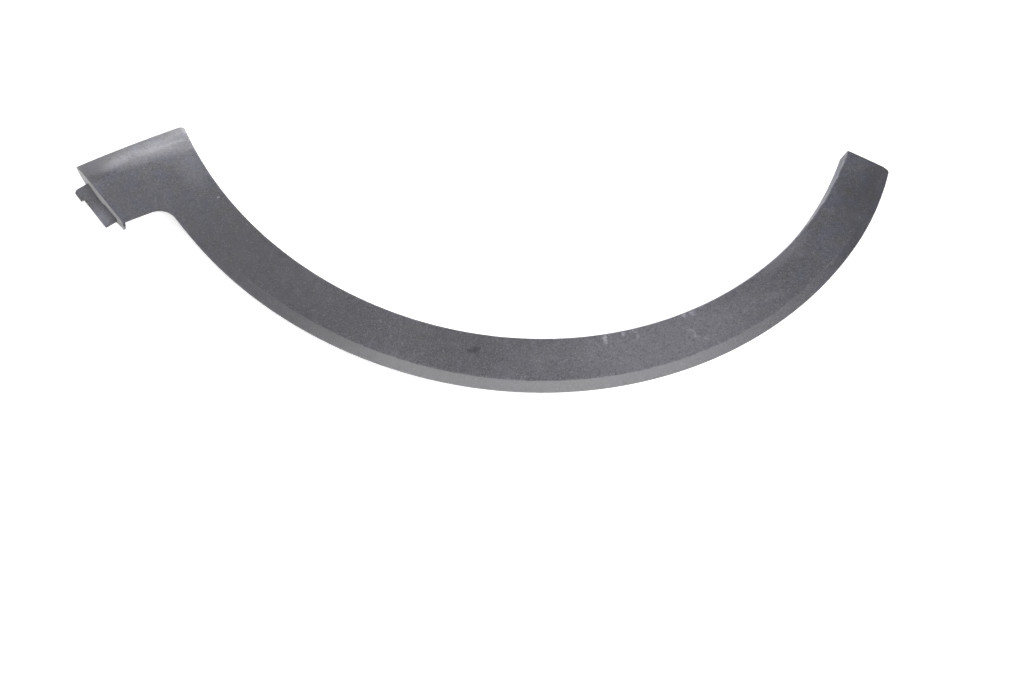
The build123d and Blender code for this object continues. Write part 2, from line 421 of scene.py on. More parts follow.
@dataclass
class Skin:
    """Shell of the moulding: face, bevel, foot, and the walls that go down from it.

    Steps and rows divide the mesh, and a crowding above one draws them towards their start.
    """

    shape: TrimShape
    edge_round: float = 1.3
    inside_round: float = 0.5
    inside_drop: float = 2.0
    lip_round: float = 0.3
    lip_angle: float = 50.0
    corner_steps: int = 4
    end_steps: int = 36
    end_crowding: float = 1.35
    end_fan: Span = (60.0, 56.5)
    low_steps: int = 12
    fillet_steps: int = 12
    band_step: float = 0.8
    taper_steps: int = 18
    taper_samples: int = 4000
    sill_crowding: float = 1.1
    bend_reach: float = 3.0
    face_rows: int = 16
    crease_reach: float = 1.8
    crease_samples: int = 400
    lip_room: float = 3.0
    near_rows: tuple[float, ...] = (0.0, 0.8, 1.6, 2.5, 3.6)
    ridge_rows: tuple[float, ...] = (-0.5, 0.0, 0.5, 1.0)
    lip_rows: tuple[float, ...] = (0.35, 0.7, 1.0)
    rounding_rows: int = 4
    wall_rows: int = 4

    def side_corner(self, inset: float) -> tuple[Plan, Plan]:
        """Rounds the corner where the opening meets the sill edge.

        Args:
            inset: Distance inward from the walled edges.

        Returns:
            Half arcs from the middle of the corner towards the opening and towards the sill edge.
        """
        shape = self.shape
        base = shape.sill_start + inset * shape.sill_in
        radius = shape.opening_radius + inset
        across = float(base @ shape.sill_out)
        corner = base + shape.sill_out * (math.sqrt(across**2 - base @ base + radius**2) - across)
        turn = math.radians(float(arch_angle(corner)))
        tangent = np.array([math.cos(turn), math.sin(turn)])
        round_radius = max(shape.corner_round - inset, self.inside_round)
        return half_arc(corner, tangent, shape.sill_out, round_radius, self.corner_steps)

    def tip(self) -> tuple[Plan, Plan, Plan]:
        """Outer edge towards the narrow end.

        Returns:
            Points of the tapering edge up to its rounded tip, the half arc of the tip that ends the
            edge, and the half arc that starts the narrow end.
        """
        shape = self.shape
        centre = polar(shape.outer_radius - shape.narrow_edge_radius, shape.narrow_start)
        # The taper turns about its own centre, so its angles run on past the narrow end's
        last_turn = shape.narrow_end + shape.narrow_start / 2
        turns = np.linspace(shape.narrow_start, last_turn, self.taper_samples)
        edge = centre + polar(shape.narrow_edge_radius, turns)
        last = int(np.argmax(arch_angle(edge) >= shape.narrow_end))
        back = unit(edge[last - 1] - edge[last])
        to_edge, to_end = half_arc(
            edge[last], back, -polar(1, shape.narrow_end), shape.tip_round, self.corner_steps
        )
        stop = int(np.argmin(np.linalg.norm(edge - to_edge[-1], axis=1)))
        steps = np.linspace(turns[0], turns[stop], self.taper_steps + 1)[:-1]
        return centre + polar(shape.narrow_edge_radius, steps), to_edge[::-1], to_end

    def outer_edge(self, inset: float) -> tuple[Plan, np.ndarray, int]:
        """Outer ends of the columns, from the foot's end round to the narrow end.

        Args:
            inset: Distance inward from the walled edges.

        Returns:
            The points, the arch angle on the opening that each is joined to, and the number of the
            column at the foot's free corner.
        """
        shape = self.shape
        sine = abs(float(np.cross(shape.end_along, shape.sill_out)))
        corner = shape.corner + inset / sine * (shape.end_along - shape.sill_out)
        join = polar(shape.outer_radius, -shape.foot_join_angle)
        low_way = unit(join - shape.low_corner)
        low_sine = abs(float(np.cross(low_way, shape.end_along)))
        low = shape.low_corner + low_way * inset / low_sine
        shares = (np.linspace(0, 1, self.end_steps + 1) ** self.end_crowding)[:, None]
        end = corner + shares * (low - corner)

        # Concave fillet between the foot's lower edge and the lip
        free = np.array([-low_way[1], low_way[0]])
        free = free * np.sign(free @ polar(1, 90 - shape.foot_join_angle))
        base = shape.low_corner + free * shape.foot_inner_fillet
        reach = shape.outer_radius + shape.foot_inner_fillet
        across = float(base @ low_way)
        centre = base + low_way * (-across - math.sqrt(across**2 - base @ base + reach**2))
        start = centre - free * shape.foot_inner_fillet
        stop = unit(centre) * shape.outer_radius
        low_edge = low + np.linspace(0, 1, self.low_steps + 1)[1:, None] * (start - low)
        first, last = unit(start - centre), unit(stop - centre)
        swing = math.acos(float(first @ last))
        across_first = unit(last - first * float(first @ last))
        turns = np.linspace(0, swing, self.fillet_steps + 1)[1:, None]
        fillet = centre + shape.foot_inner_fillet * (np.cos(turns) * first + np.sin(turns) * across_first)

        band_start = float(arch_angle(stop))
        band_count = round((shape.narrow_start - band_start) / self.band_step)
        band_angles = np.linspace(band_start, shape.narrow_start, band_count + 1)[1:-1]
        taper, tip_arc, _ = self.tip()
        points = np.vstack([end, low_edge, fillet, polar(shape.outer_radius, band_angles), taper, tip_arc])

        fan_end, fan_low = self.end_fan
        opening = float(arch_angle(self.side_corner(inset)[0][-1]))
        angles = np.concatenate(
            [
                opening + shares[:, 0] * (-fan_end - opening),
                np.linspace(-fan_end, -fan_low, self.low_steps + 1)[1:],
                np.linspace(-fan_low, band_start, self.fillet_steps + 1)[1:],
                band_angles,
                np.linspace(shape.narrow_start, shape.narrow_end, len(taper) + len(tip_arc)),
            ]
        )
        return points, angles, self.end_steps

    def columns(self, inset: float) -> tuple[Plan, int]:
        """Plan points of the skin.

        Args:
            inset: Distance inward from the walled edges.

        Returns:
            Points by column and row, columns from the sill edge to the narrow end and rows from the
            opening outward, and the number of the column at the foot's free corner.
        """
        shape = self.shape
        outer, angles, free_corner = self.outer_edge(inset)
        inner = polar(shape.opening_radius + inset, angles)
        to_opening, to_sill = self.side_corner(inset)

        # The rounded corner takes its steps in both directions
        extra = len(to_opening) - 1
        weights = np.linspace(0, 1, extra + 1)[:-1, None]
        inner = np.vstack([to_opening[:-1], inner])
        halfway = (outer[0] + outer[1]) / 2
        outer = np.vstack([outer[0] + weights * (outer[1] - outer[0]) / 2, halfway, outer[1:]])
        length = np.linalg.norm(outer - inner, axis=1)

        shares = self.row_distances(inner, outer, length) / length[:, None]
        points = inner[:, None] + shares[..., None] * (outer - inner)[:, None]

        # First column follows the rounded corner and the sill edge, last one the rounded tip
        sill = inner[0] + shares[0][:, None] * (outer[0] - inner[0])
        bent = np.array(sill)
        bent[: extra + 1] = to_sill
        crowded = np.linspace(0, 1, len(sill) - extra)[:, None] ** self.sill_crowding
        bent[extra:] = to_sill[-1] + crowded * (outer[0] - to_sill[-1])
        fade = np.clip(1 - np.arange(len(inner)) / (self.bend_reach * extra), 0, 1) ** 2
        points += fade[:, None, None] * (bent - sill)
        _, _, to_end = self.tip()
        steps = len(to_end) - 1
        straight = np.array(points[-1])
        ended = np.array(straight)
        ended[-steps - 1 :] = to_end[::-1]
        end_way = unit(to_end[-1] - inner[-1])
        run = (straight[: -steps - 1] - straight[0]) @ end_way[:, None]
        ended[: -steps - 1] = inner[-1] + run * end_way
        back = np.clip(1 - np.arange(len(inner))[::-1] / (self.bend_reach * steps), 0, 1) ** 2
        points += back[:, None, None] * (ended - straight)
        return points, free_corner + extra

    def row_distances(self, inner: Plan, outer: Plan, length: np.ndarray) -> np.ndarray:
        """Spaces the rows, close together at the edges and along the crease.

        Args:
            inner: Ends of the columns at the opening.
            outer: Their outer ends.
            length: Their lengths.

        Returns:
            Distances from the opening by column and row.
        """
        way = (outer - inner) / length[:, None]
        samples = np.linspace(0, 1, self.crease_samples)
        along = inner[:, None] + (samples[None, :] * length[:, None])[..., None] * way[:, None]
        past = self.shape.beyond_crease(along) > 0
        crease = np.where(past.any(1), samples[np.argmax(past, axis=1)] * length, length)
        crease = np.minimum(crease, length - self.lip_room * self.crease_reach)
        near, ridge, lip = (np.array(r) for r in (self.near_rows, self.ridge_rows, self.lip_rows))
        face = np.linspace(0, 1, self.face_rows + 1)[1:]
        start = crease - self.crease_reach
        parts = [
            np.broadcast_to(near, (len(length), len(near))),
            near[-1] + face * (start - near[-1])[:, None],
            crease[:, None] + self.crease_reach * ridge,
            (crease + self.crease_reach)[:, None] + lip * (length - crease - self.crease_reach)[:, None],
        ]
        return np.hstack(parts)

    def shell(self, wall: float, rounding: float) -> tuple[np.ndarray, np.ndarray, int]:
        """Surface of the moulding, its outside or its inside.

        Args:
            wall: Nought for the outside, the wall's thickness for the inside.
            rounding: Radius between the face and the walls.

        Returns:
            Points of the face by column and row, points of the walls by place round the edge and
            row downward, and the number of the column at the foot's free corner.
        """
        shape = self.shape
        plan, free_corner = self.columns(wall + rounding)
        edge, _ = self.columns(wall)
        face = np.concatenate([plan, shape.height(plan, wall)[..., None]], axis=2)
        count, rows = plan.shape[:2]
        ring = [(i, 0) for i in range(count - 1, -1, -1)]
        ring += [(0, j) for j in range(1, rows)]
        ring += [(i, rows - 1) for i in range(1, free_corner + 1)]
        index = np.array(ring)
        top = plan[index[:, 0], index[:, 1]]
        brim = edge[index[:, 0], index[:, 1]]
        outward = unit(brim - top)
        height = shape.height(brim, wall)
        top_z = shape.height(top, wall)

        # Lean of each wall: the flange has its draft, the sill wall none, the foot's end its flare
        lean = np.zeros(len(ring))
        lean[: count - self.corner_steps] = math.tan(math.radians(shape.flange_draft))
        lean[count - self.corner_steps - 1 : count] = lean[0] * np.linspace(1, 0, self.corner_steps + 1)
        reference = np.full(len(ring), shape.flange_depth)
        if not wall:
            along = (brim - shape.corner) @ shape.end_along
            flare = shape.flare(np.clip(along, 0, shape.end_length))
            start = count + rows - 2
            lean[start:] = (flare / height)[start:]
            reference[start:] = height[start:]
        rim = self.rim_height(brim, count)

        drop = self.inside_drop * rounding if wall else rounding
        corner = brim + outward * (lean * (reference - height))[:, None]
        low = brim + outward * (lean * (reference - height + drop))[:, None]
        levels = [top_z]
        places = [top]
        for share in np.linspace(0, 1, self.rounding_rows + 1)[1:]:
            before, between, after = (1 - share) ** 2, 2 * share * (1 - share), share**2
            places.append(before * top + between * corner + after * low)
            levels.append(before * top_z + between * height + after * (height - drop))
        for share in np.linspace(0, 1, self.wall_rows + 1)[1:]:
            level = height - drop + share * (rim - height + drop)
            places.append(brim + outward * (lean * (reference - level))[:, None])
            levels.append(level)
        walls = np.concatenate([np.stack(places, 1), np.stack(levels, 1)[..., None]], axis=2)
        return face, walls, free_corner

    def rim_height(self, brim: Plan, count: int) -> np.ndarray:
        """Height of the walls' lower rim, which rises along the flange towards the narrow end.

        Args:
            brim: Plan points round the upper edge of the walls.
            count: How many of them belong to the flange.

        Returns:
            One height for each point.
        """
        shape = self.shape
        tip = polar(1, shape.narrow_end)
        away = (brim - shape.opening_radius * tip) @ np.array([tip[1], -tip[0]])
        rise = shape.relief_rise * np.clip(1 - away / shape.relief_length, 0, 1)
        rise[count:] = 0
        return rise

    def build(self, finishes: Sequence[bpy.types.Material]) -> None:
        """Makes the shell as one closed mesh.

        Args:
            finishes: Materials of the outside and of the inside.
        """
        draft = MeshDraft()
        quads: list[tuple[int, ...]] = []
        sides = ((0.0, self.edge_round), (self.shape.wall, self.inside_round))
        for number, (wall, rounding) in enumerate(sides):
            face, walls, free_corner = self.shell(wall, rounding)
            count, rows = face.shape[:2]
            grid = np.arange(count * rows).reshape(count, rows)
            ring = np.concatenate([grid[::-1, 0], grid[0, 1:], grid[1 : free_corner + 1, -1]])
            deep = walls.shape[1] - 1
            strip = count * rows + np.arange(len(ring) * deep).reshape(len(ring), deep)
            strip = np.hstack([ring[:, None], strip])
            quads = []
            for patch in (grid, strip[::-1]):
                corners = (patch[:-1, :-1], patch[1:, :-1], patch[1:, 1:], patch[:-1, 1:])
                quads += [tuple(int(c) for c in q) for q in np.stack(corners, -1).reshape(-1, 4)]
            points = np.vstack([face.reshape(-1, 3), walls[:, 1:].reshape(-1, 3)])
            draft.add(points, quads, number)

        # The open edges, at the same places in both sides, are joined by a strip
        size = len(draft.points[0])
        uses: dict[frozenset[int], int] = {}
        for quad in quads:
            for edge in map(frozenset, zip(quad, quad[1:] + quad[:1])):
                uses[edge] = uses.get(edge, 0) + 1
        for first, last in (sorted(edge) for edge, used in uses.items() if used == 1):
            draft.faces.append((first, last, last + size, first + size))
            draft.finishes.append(0)
        piece = draft.make("arch_trim_skin", self.shape, finishes)
        round_edges(piece, self.lip_round, self.lip_angle)


@dataclass
class HiddenSide:
    """Clip houses and gussets behind the face."""

    shape: TrimShape
    clip_radius: float = 396.0
    clip_count: int = 5
    clip_first: float = -42.0
    clip_pitch: float = 25.0
    foot_clip: Span = (428.0, -60.0)
    edge_round: float = 0.25
    seat: float = 4.0
    plate: float = 2.2
    house_wall: float = 2.0
    wall_lap: float = 1.0
    width: float = 20.0
    length: float = 17.0
    slot: float = 8.4
    slot_steps: int = 14
    gusset_count: int = 16
    gusset_first: float = -57.0
    gusset_pitch: float = 8.0
    gusset_thickness: float = 1.8
    gusset_run: float = 14.0
    gusset_clear: float = 4.0

    def house(self, draft: MeshDraft, radius: float, angle: float) -> None:
        """Adds one clip house: three walls and a slotted seat plate, open towards the lip.

        Args:
            draft: Draft that takes the house.
            radius: Distance of its middle from the arch axis.
            angle: Arch angle of its middle.
        """
        out, across = polar(1, angle), polar(1, angle + 90)
        back, front = -self.length / 2, self.length / 2
        side, inner = self.width / 2, self.width / 2 - self.house_wall
        neck = self.slot / 2
        # The slot ends in a half circle about the clip
        turns = np.radians(np.linspace(-90, -270, self.slot_steps + 1))
        plate = [(back, -side), (front, -side), (front, -neck)]
        plate += [(neck * math.cos(turn), neck * math.sin(turn)) for turn in turns]
        plate += [(front, neck), (front, side), (back, side)]
        edge, mouth = side - SINK, front - SINK
        walls = [(back + SINK, -edge), (mouth, -edge), (mouth, -inner), (back + self.house_wall, -inner)]
        walls += [(x, -y) for x, y in reversed(walls)]
        middle = polar(radius, angle)
        plate_layer = (plate, self.seat, self.seat + self.plate)
        wall_layer = (walls, self.seat + self.wall_lap, None)
        for outline, bottom, top in (plate_layer, wall_layer):
            plan = np.array([middle + x * out + y * across for x, y in outline])
            high = np.full(len(plan), top) if top else self.shape.height(plan, self.shape.wall / 2)
            low = np.full(len(plan), bottom)
            draft.prism(np.column_stack([plan, low]), np.column_stack([plan, high]))

    def gusset(self, draft: MeshDraft, angle: float) -> None:
        """Adds one gusset between flange and face.

        Args:
            draft: Draft that takes the gusset.
            angle: Its arch angle.
        """
        shape = self.shape
        middle = shape.wall / 2
        draft_slope = math.tan(math.radians(shape.flange_draft))
        root = shape.opening_radius + middle
        end = shape.opening_radius + shape.wall + self.gusset_run
        below = shape.flange_depth - shape.wall - shape.face_drop / 2
        radii = [root - draft_slope * (shape.flange_depth - self.gusset_clear), end, end, root]
        plan = np.array([polar(r, angle) for r in radii])
        tops = shape.height(plan, middle)
        levels = [self.gusset_clear, below, tops[2], tops[3]]
        across = polar(1, angle + 90) * self.gusset_thickness / 2
        draft.prism(np.column_stack([plan - across, levels]), np.column_stack([plan + across, levels]))

    def build(self, finish: bpy.types.Material) -> None:
        """Makes the clip houses and the gussets.

        Args:
            finish: Material of both.
        """
        houses = MeshDraft()
        for number in range(self.clip_count):
            self.house(houses, self.clip_radius, self.clip_first + number * self.clip_pitch)
        self.house(houses, *self.foot_clip)
        gussets = MeshDraft()
        for number in range(self.gusset_count):
            self.gusset(gussets, self.gusset_first + number * self.gusset_pitch)
        for draft, name in ((houses, "arch_trim_clip_houses"), (gussets, "arch_trim_gussets")):
            round_edges(draft.make(name, self.shape, [finish]), self.edge_round, BLOCK_ANGLE)


@dataclass
class FootEnd:
    """Hooked locating tab and the nub at the foot's end."""

    shape: TrimShape
    tab_start: float = 23.1
    tab_length: float = 51.5
    tab_reach: float = 14.2
    tab_top: float = 4.0
    tab_thickness: float = 2.6
    hook_length: float = 13.4
    hook_reach: float = 3.0
    hook_corner: float = 2.5
    pad_length: float = 21.0
    pad_height: float = 1.2
    nub_height: float = 5.0
    nub_reach: float = 3.0
    nub_step: float = 1.6
    nub_root: float = 5.2
    edge_round: float = 0.4

    def block(
        self, draft: MeshDraft, outline: Sequence[Span], low: float, high: float, finish: int = 0
    ) -> None:
        """Adds a prism over an outline given along the end and out of it.

        Args:
            draft: Draft that takes the prism.
            outline: Corners as pairs of the distance along the end and the distance out of it.
            low: Height of the bottom.
            high: Height of the top.
            finish: Number of the material slot.
        """
        shape = self.shape
        plan = np.array([shape.corner + a * shape.end_along + o * shape.end_out for a, o in outline])
        levels = np.ones(len(plan))
        draft.prism(np.column_stack([plan, low * levels]), np.column_stack([plan, high * levels]), finish)

    def build(self, finishes: Sequence[bpy.types.Material]) -> None:
        """Makes the tab with its hook and pad, and the nub.

        Args:
            finishes: Materials of the tab and of the nub.
        """
        root = -self.shape.wall / 2
        start, stop = self.tab_start, self.tab_start + self.tab_length
        hook_end, hook_out = start + self.hook_length, self.tab_reach + self.hook_reach
        bottom = self.tab_top - self.tab_thickness
        draft = MeshDraft()
        outline = [(start, root), (start, hook_out - self.hook_corner), (start + self.hook_corner, hook_out)]
        outline += [(hook_end, hook_out), (hook_end, self.tab_reach), (stop, self.tab_reach), (stop, root)]
        self.block(draft, outline, bottom, self.tab_top)
        pad = self.oblong((stop - self.pad_length, stop - SINK), (root + SINK, self.tab_reach - SINK))
        self.block(draft, pad, bottom + SINK, self.tab_top + self.pad_height)
        end = self.shape.end_length
        nub_out = (self.nub_step - self.shape.wall, self.nub_step)
        nub = self.oblong((end - self.nub_root, end + self.nub_reach), nub_out)
        self.block(draft, nub, SINK, self.nub_height, 1)
        piece = draft.make("arch_trim_tab", self.shape, finishes)
        round_edges(piece, self.edge_round, BLOCK_ANGLE)

    @staticmethod
    def oblong(along: Span, out: Span) -> list[Span]:
        """Corners of an oblong between two distances along the end and two out of it."""
        return [(along[0], out[0]), (along[0], out[1]), (along[1], out[1]), (along[1], out[0])]


class Sock:
    """Output of a node, on which arithmetic adds Math nodes."""

    def __init__(self, web: "Web", socket: bpy.types.NodeSocket) -> None:
        """Keeps the socket and the web that it belongs to."""
        self.web = web
        self.socket = socket

    def __add__(self, other: "Value") -> "Sock":
        """Sum."""
        return self.web.math("ADD", self, other)

    def __sub__(self, other: "Value") -> "Sock":
        """Difference."""
        return self.web.math("SUBTRACT", self, other)

    def __rsub__(self, other: "Value") -> "Sock":
        """Difference from a number."""
        return self.web.math("SUBTRACT", other, self)

    def __mul__(self, other: "Value") -> "Sock":
        """Product."""
        return self.web.math("MULTIPLY", self, other)

    def __truediv__(self, other: "Value") -> "Sock":
        """Quotient."""
        return self.web.math("DIVIDE", self, other)

    __radd__ = __add__
    __rmul__ = __mul__


Value = Union[Sock, Number]
SEEN_RAYS = ("Camera", "Glossy", "Transmission")


@dataclass(frozen=True)
class Noise:
    """Settings of a noise."""

    scale: float
    detail: float = 2.0
    roughness: float = 0.5


class Web:
    """Node tree of a material or a world, with one method for each kind of work."""

    def __init__(self, tree: bpy.types.NodeTree) -> None:
        """Clears the tree."""
        self.tree = tree
        tree.nodes.clear()

    def node(self, kind: str, settings: dict[str, Any], **inputs: Any) -> bpy.types.Node:
        """Adds a node.

        Args:
            kind: Blender's name of the node type.
            settings: Attributes, which are set first.
            **inputs: Values or links by the input's name, with _ for a space.

        Returns:
            The new node.
        """
        made = self.tree.nodes.new(kind)
        for key, value in settings.items():
            setattr(made, key, value)
        for key, value in inputs.items():
            self.feed(made.inputs[key.replace("_", " ")], value)
        return made

    def feed(self, socket: bpy.types.NodeSocket, value: Any) -> None:
        """Links a socket or sets its value.

        Args:
            socket: Input to feed.
            value: Link or plain value.
        """
        if isinstance(value, Sock):
            self.tree.links.new(value.socket, socket)
        else:
            socket.default_value = value

    def operate(self, kind: str, operation: str, values: Sequence[Any]) -> bpy.types.Node:
        """Adds a node that works out an operation.

        Args:
            kind: Blender's name of the node type.
            operation: Its operation.
            values: Values or links of its inputs, in their order.

        Returns:
            The new node.
        """
        made = self.node(kind, {"operation": operation})
        for socket, value in zip(made.inputs, values):
            self.feed(socket, value)
        return made

    def math(self, operation: str, *values: Value) -> Sock:
        """Adds a Math node."""
        return Sock(self, self.operate("ShaderNodeMath", operation, values).outputs[0])

    def vector(self, operation: str, *values: Any, output: str = "Vector") -> Sock:
        """Adds a Vector Math node."""
        return Sock(self, self.operate("ShaderNodeVectorMath", operation, values).outputs[output])

    def ramp(self, value: Value, low: float, high: float) -> Sock:
        """Smooth step.

        Args:
            value: What the step follows.
            low: Value at which it starts.
            high: Value at which it ends.

        Returns:
            Nought up to the start and one from the end on.
        """
        settings = {"interpolation_type": "SMOOTHSTEP"}
        made = self.node("ShaderNodeMapRange", settings, Value=value, From_Min=low, From_Max=high)
        return Sock(self, made.outputs["Result"])

    def object_point(self) -> Sock:
        """Point on the surface in the object's own frame, in metres."""
        return Sock(self, self.node("ShaderNodeTexCoord", {}).outputs["Object"])

    def noise(self, vector: Sock, noise: Noise) -> Sock:
        """Noise from nought to one.

        Args:
            vector: Point at which it is taken.
            noise: Its settings.

        Returns:
            The noise at that point.
        """
        inputs = {"Scale": noise.scale, "Detail": noise.detail, "Roughness": noise.roughness}
        return Sock(self, self.node("ShaderNodeTexNoise", {}, Vector=vector, **inputs).outputs["Fac"])

    def streaks(self, vector: Sock, turn: float, scales: Triple) -> Sock:
        """Point for a noise that is drawn out into streaks.

        Args:
            vector: Point on the surface.
            turn: Turn about the upright axis in radians.
            scales: Scale along each axis after the turn.

        Returns:
            The turned and scaled point.
        """
        settings = {"rotation_type": "Z_AXIS"}
        turned = self.node("ShaderNodeVectorRotate", settings, Vector=vector, Angle=turn)
        return self.vector("MULTIPLY", Sock(self, turned.outputs["Vector"]), scales)

    def split(self, vector: Sock) -> list[Sock]:
        """Parts of a vector."""
        made = self.node("ShaderNodeSeparateXYZ", {}, Vector=vector)
        return [Sock(self, made.outputs[axis]) for axis in "XYZ"]

    def level(self, shade: Sock) -> Sock:
        """Colour with one level in all channels."""
        made = self.node("ShaderNodeCombineColor", {}, Red=shade, Green=shade, Blue=shade)
        return Sock(self, made.outputs["Color"])

    def greatest(self, values: Iterable[Value]) -> Value:
        """Greatest of several values.

        Args:
            values: Values from nought up.

        Returns:
            The greatest, or nought if there are none.
        """
        found: Value = 0.0
        for value in values:
            found = self.math("MAXIMUM", found, value)
        return found

    def seen(self) -> Value:
        """One for rays from the camera and for reflected and refracted ones, nought for diffuse light."""
        path = self.node("ShaderNodeLightPath", {})
        return self.greatest(Sock(self, path.outputs[f"Is {kind} Ray"]) for kind in SEEN_RAYS)

    def blend(self, share: Value, first: Any, second: Any, way: str = "MIX") -> Sock:
        """Mix of two colours.

        Args:
            share: Share of the second colour.
            first: First colour.
            second: Second colour.
            way: Blender's name of the way of mixing.

        Returns:
            The mixed colour.
        """
        made = self.node("ShaderNodeMix", {"data_type": "RGBA", "blend_type": way})
        for name, value in (("Factor_Float", share), ("A_Color", first), ("B_Color", second)):
            self.feed(next(s for s in made.inputs if s.identifier == name), value)
        return Sock(self, next(s for s in made.outputs if s.identifier == "Result_Color"))

    def plastic(self, colour: Sock, roughness: Sock, height: Sock, relief: Span) -> None:
        """Ends the tree in a plastic shader.

        Args:
            colour: Base colour.
            roughness: Roughness.
            height: Height of the grain, as a share of its depth.
            relief: Strength of the bump and its depth in metres.
        """
        bump = self.node("ShaderNodeBump", {}, Height=height, Strength=relief[0], Distance=relief[1])
        inputs = {"Base_Color": colour, "Roughness": roughness, "Normal": Sock(self, bump.outputs["Normal"])}
        self.end("ShaderNodeOutputMaterial", self.node("ShaderNodeBsdfPrincipled", {}, **inputs))

    def end(self, kind: str, shader: bpy.types.Node) -> None:
        """Ends the tree in a shader."""
        self.node(kind, {}, Surface=Sock(self, shader.outputs[0]))


def new_finish(name: str) -> tuple[bpy.types.Material, Web]:
    """Makes a material with an empty tree.

    Args:
        name: Name of the material.

    Returns:
        The material and its web.
    """
    material = bpy.data.materials.new(name)
    material.use_nodes = True
    return material, Web(material.node_tree)


Colour = tuple[float, float, float, float]
GREEN_SHARE = 0.99
# Middle of a noise
MIDDLE = 0.5


def grey(level: float, blue: float = 1.0, green: float = GREEN_SHARE) -> Colour:
    """Colour whose green and blue are shares of its level."""
    return (level, level * green, level * blue, 1.0)


class Tone(Enum):
    """What a mark leaves on the face, by the level of its colour: real scuffs, dust and grime, and also
    painted highlights and painted shade.
    """

    # Chalky scuffs, and the colour of the painted highlights on the bevel and the foot's end wall
    CHALK_AND_HIGHLIGHT = 0.36
    # Dust, and painted highlights on the foot's roll, the flange and the tab's pad
    DUST_AND_HIGHLIGHT = 0.22
    # Grime, and painted shade on the left arm, the sill corner, the narrow end and the tab
    GRIME_AND_SHADE = 0.03


# Where a mark fades, as shares of its size
MARK_FADE = (0.25, 1.0)
# Line of a hooked mark, the fade of its width and that of its open side, as shares of its size
HOOK_LINE = 0.75
HOOK_FADE = (0.05, 0.3)
HOOK_OPEN = (-0.45, 0.15)


@dataclass(frozen=True)
class Mark:
    """Scuff, scratch, stain, painted highlight or painted shade, placed by arch angle and radius, with half
    lengths in millimetres.
    """

    angle: float
    radius: float
    along: float
    out: float
    turn: float = 0.0
    strength: float = 0.5
    tone: Tone = Tone.CHALK_AND_HIGHLIGHT
    hook: bool = False

    def mask(self, web: Web, place: "ArchPlace") -> Sock:
        """Share of the mark over the face.

        Args:
            web: Web of the finish.
            place: Place on the moulding, with ragged outlines.

        Returns:
            The mark's strength in its middle, nought away from it.
        """
        across = (place.ragged_angle - self.angle) * (math.radians(1) * self.radius)
        outward = place.ragged_radius - self.radius
        cosine, sine = math.cos(math.radians(self.turn)), math.sin(math.radians(self.turn))
        first = across * (cosine / self.along) + outward * (sine / self.along)
        second = outward * (cosine / self.out) - across * (sine / self.out)
        distance = web.math("SQRT", first * first + second * second)
        if self.hook:
            ring = 1 - web.ramp(web.math("ABSOLUTE", distance - HOOK_LINE), *HOOK_FADE)
            return self.strength * ring * web.ramp(first, *HOOK_OPEN)
        return self.strength * (1 - web.ramp(distance, *MARK_FADE))


